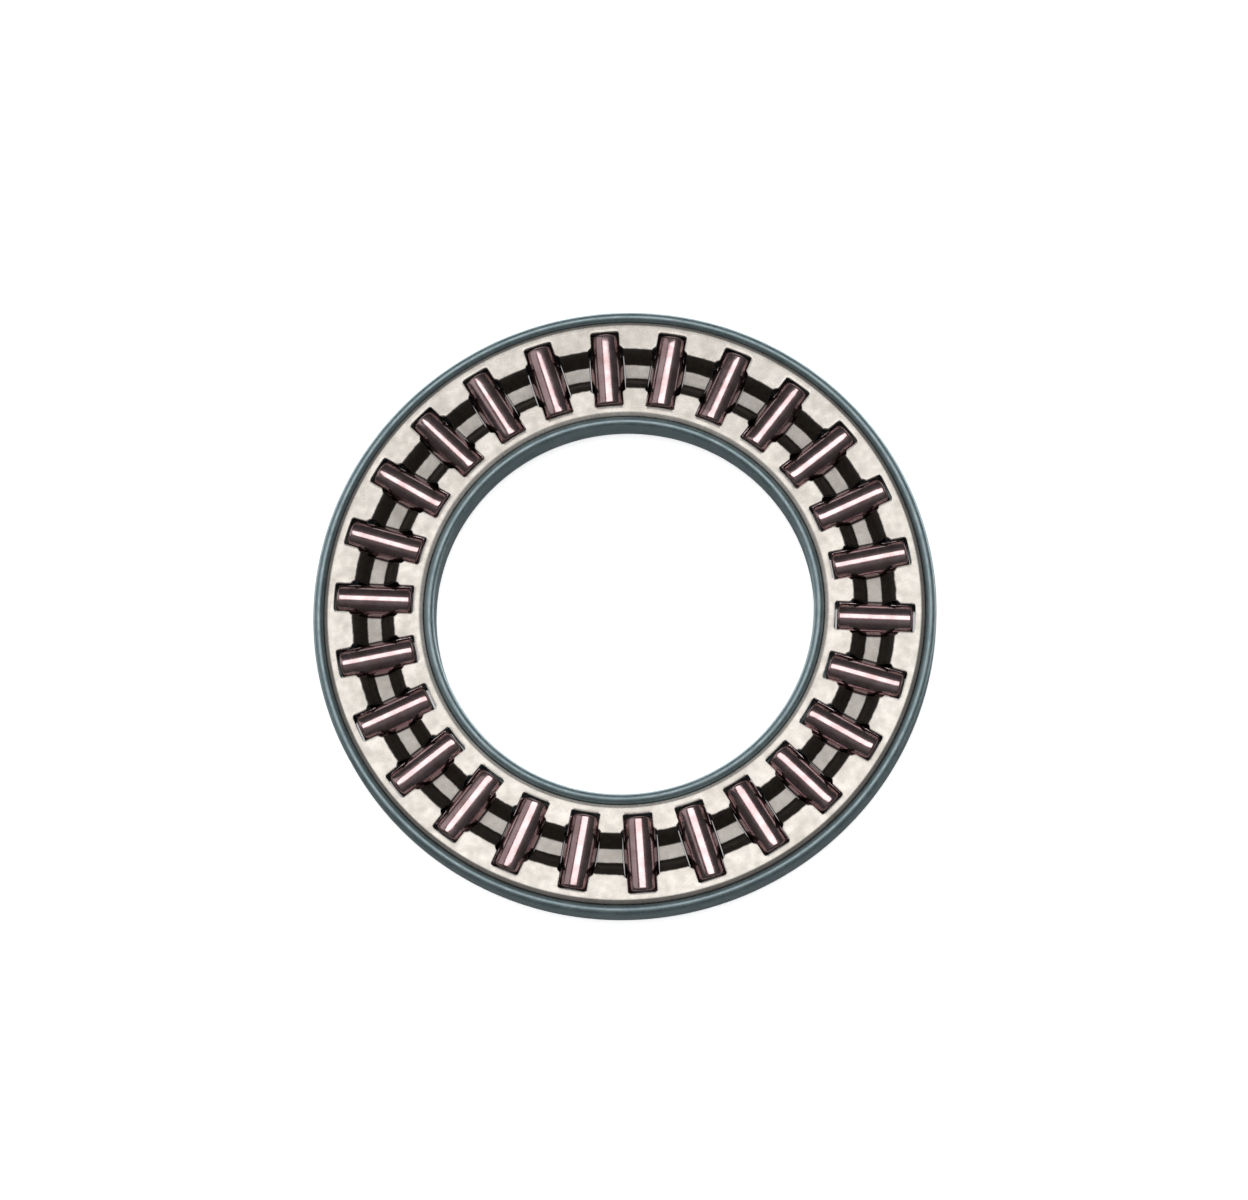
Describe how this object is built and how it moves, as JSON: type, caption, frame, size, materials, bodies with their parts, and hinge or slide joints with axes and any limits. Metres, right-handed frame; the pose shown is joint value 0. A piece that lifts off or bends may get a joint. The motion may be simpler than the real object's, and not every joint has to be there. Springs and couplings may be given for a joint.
{
  "type": "needle roller thrust bearing",
  "caption": "Flat thrust bearing: a ring of needle rollers lying radially in a two-shell pressed steel cage with folded rims at the bore and the outer edge.",
  "frame": {"origin": "bearing centre, on its axis and halfway between the two running planes", "axes": "+Z along the bearing axis, out of the face that shows the upper shell; +X along the first roller's axis"},
  "size_m": [0.0366, 0.0366, 0.002],
  "materials": {
    "upper_shell_steel": "bright pressed strip, slightly warm, satin",
    "lower_shell_steel": "bright pressed strip, cool grey, satin",
    "roller_steel": "hardened and ground bearing steel, polished"
  },
  "bodies": {
    "cage": {"cage_upper_shell": "upper_shell_steel", "cage_lower_shell": "lower_shell_steel"},
    "roller_01": {"roller_01": "roller_steel"},
    "roller_02": {"roller_02": "roller_steel"},
    "roller_03": {"roller_03": "roller_steel"},
    "roller_04": {"roller_04": "roller_steel"},
    "roller_05": {"roller_05": "roller_steel"},
    "roller_06": {"roller_06": "roller_steel"},
    "roller_07": {"roller_07": "roller_steel"},
    "roller_08": {"roller_08": "roller_steel"},
    "roller_09": {"roller_09": "roller_steel"},
    "roller_10": {"roller_10": "roller_steel"},
    "roller_11": {"roller_11": "roller_steel"},
    "roller_12": {"roller_12": "roller_steel"},
    "roller_13": {"roller_13": "roller_steel"},
    "roller_14": {"roller_14": "roller_steel"},
    "roller_15": {"roller_15": "roller_steel"},
    "roller_16": {"roller_16": "roller_steel"},
    "roller_17": {"roller_17": "roller_steel"},
    "roller_18": {"roller_18": "roller_steel"},
    "roller_19": {"roller_19": "roller_steel"},
    "roller_20": {"roller_20": "roller_steel"},
    "roller_21": {"roller_21": "roller_steel"},
    "roller_22": {"roller_22": "roller_steel"},
    "roller_23": {"roller_23": "roller_steel"},
    "roller_24": {"roller_24": "roller_steel"},
    "roller_25": {"roller_25": "roller_steel"},
    "roller_26": {"roller_26": "roller_steel"}
  },
  "joints": [
    {"name": "roller_01_spin", "type": "hinge", "parent": "cage", "child": "roller_01", "pos_m": [0.01469, 0, 0], "axis": [1, 0, 0], "continuous": true},
    {"name": "roller_02_spin", "type": "hinge", "parent": "cage", "child": "roller_02", "pos_m": [0.01426, 0.00352, 0], "axis": [0.9709, 0.2393, 0], "continuous": true},
    {"name": "roller_03_spin", "type": "hinge", "parent": "cage", "child": "roller_03", "pos_m": [0.01301, 0.00683, 0], "axis": [0.8855, 0.4647, 0], "continuous": true},
    {"name": "roller_04_spin", "type": "hinge", "parent": "cage", "child": "roller_04", "pos_m": [0.011, 0.00974, 0], "axis": [0.7485, 0.6631, 0], "continuous": true},
    {"name": "roller_05_spin", "type": "hinge", "parent": "cage", "child": "roller_05", "pos_m": [0.00834, 0.01209, 0], "axis": [0.5681, 0.823, 0], "continuous": true},
    {"name": "roller_06_spin", "type": "hinge", "parent": "cage", "child": "roller_06", "pos_m": [0.00521, 0.01374, 0], "axis": [0.3546, 0.935, 0], "continuous": true},
    {"name": "roller_07_spin", "type": "hinge", "parent": "cage", "child": "roller_07", "pos_m": [0.00177, 0.01458, 0], "axis": [0.1205, 0.9927, 0], "continuous": true},
    {"name": "roller_08_spin", "type": "hinge", "parent": "cage", "child": "roller_08", "pos_m": [-0.00177, 0.01458, 0], "axis": [-0.1205, 0.9927, 0], "continuous": true},
    {"name": "roller_09_spin", "type": "hinge", "parent": "cage", "child": "roller_09", "pos_m": [-0.00521, 0.01374, 0], "axis": [-0.3546, 0.935, 0], "continuous": true},
    {"name": "roller_10_spin", "type": "hinge", "parent": "cage", "child": "roller_10", "pos_m": [-0.00834, 0.01209, 0], "axis": [-0.5681, 0.823, 0], "continuous": true},
    {"name": "roller_11_spin", "type": "hinge", "parent": "cage", "child": "roller_11", "pos_m": [-0.011, 0.00974, 0], "axis": [-0.7485, 0.6631, 0], "continuous": true},
    {"name": "roller_12_spin", "type": "hinge", "parent": "cage", "child": "roller_12", "pos_m": [-0.01301, 0.00683, 0], "axis": [-0.8855, 0.4647, 0], "continuous": true},
    {"name": "roller_13_spin", "type": "hinge", "parent": "cage", "child": "roller_13", "pos_m": [-0.01426, 0.00352, 0], "axis": [-0.9709, 0.2393, 0], "continuous": true},
    {"name": "roller_14_spin", "type": "hinge", "parent": "cage", "child": "roller_14", "pos_m": [-0.01469, 0, 0], "axis": [-1, 0, 0], "continuous": true},
    {"name": "roller_15_spin", "type": "hinge", "parent": "cage", "child": "roller_15", "pos_m": [-0.01426, -0.00352, 0], "axis": [-0.9709, -0.2393, 0], "continuous": true},
    {"name": "roller_16_spin", "type": "hinge", "parent": "cage", "child": "roller_16", "pos_m": [-0.01301, -0.00683, 0], "axis": [-0.8855, -0.4647, 0], "continuous": true},
    {"name": "roller_17_spin", "type": "hinge", "parent": "cage", "child": "roller_17", "pos_m": [-0.011, -0.00974, 0], "axis": [-0.7485, -0.6631, 0], "continuous": true},
    {"name": "roller_18_spin", "type": "hinge", "parent": "cage", "child": "roller_18", "pos_m": [-0.00834, -0.01209, 0], "axis": [-0.5681, -0.823, 0], "continuous": true},
    {"name": "roller_19_spin", "type": "hinge", "parent": "cage", "child": "roller_19", "pos_m": [-0.00521, -0.01374, 0], "axis": [-0.3546, -0.935, 0], "continuous": true},
    {"name": "roller_20_spin", "type": "hinge", "parent": "cage", "child": "roller_20", "pos_m": [-0.00177, -0.01458, 0], "axis": [-0.1205, -0.9927, 0], "continuous": true},
    {"name": "roller_21_spin", "type": "hinge", "parent": "cage", "child": "roller_21", "pos_m": [0.00177, -0.01458, 0], "axis": [0.1205, -0.9927, 0], "continuous": true},
    {"name": "roller_22_spin", "type": "hinge", "parent": "cage", "child": "roller_22", "pos_m": [0.00521, -0.01374, 0], "axis": [0.3546, -0.935, 0], "continuous": true},
    {"name": "roller_23_spin", "type": "hinge", "parent": "cage", "child": "roller_23", "pos_m": [0.00834, -0.01209, 0], "axis": [0.5681, -0.823, 0], "continuous": true},
    {"name": "roller_24_spin", "type": "hinge", "parent": "cage", "child": "roller_24", "pos_m": [0.011, -0.00974, 0], "axis": [0.7485, -0.6631, 0], "continuous": true},
    {"name": "roller_25_spin", "type": "hinge", "parent": "cage", "child": "roller_25", "pos_m": [0.01301, -0.00683, 0], "axis": [0.8855, -0.4647, 0], "continuous": true},
    {"name": "roller_26_spin", "type": "hinge", "parent": "cage", "child": "roller_26", "pos_m": [0.01426, -0.00352, 0], "axis": [0.9709, -0.2393, 0], "continuous": true}
  ]
}
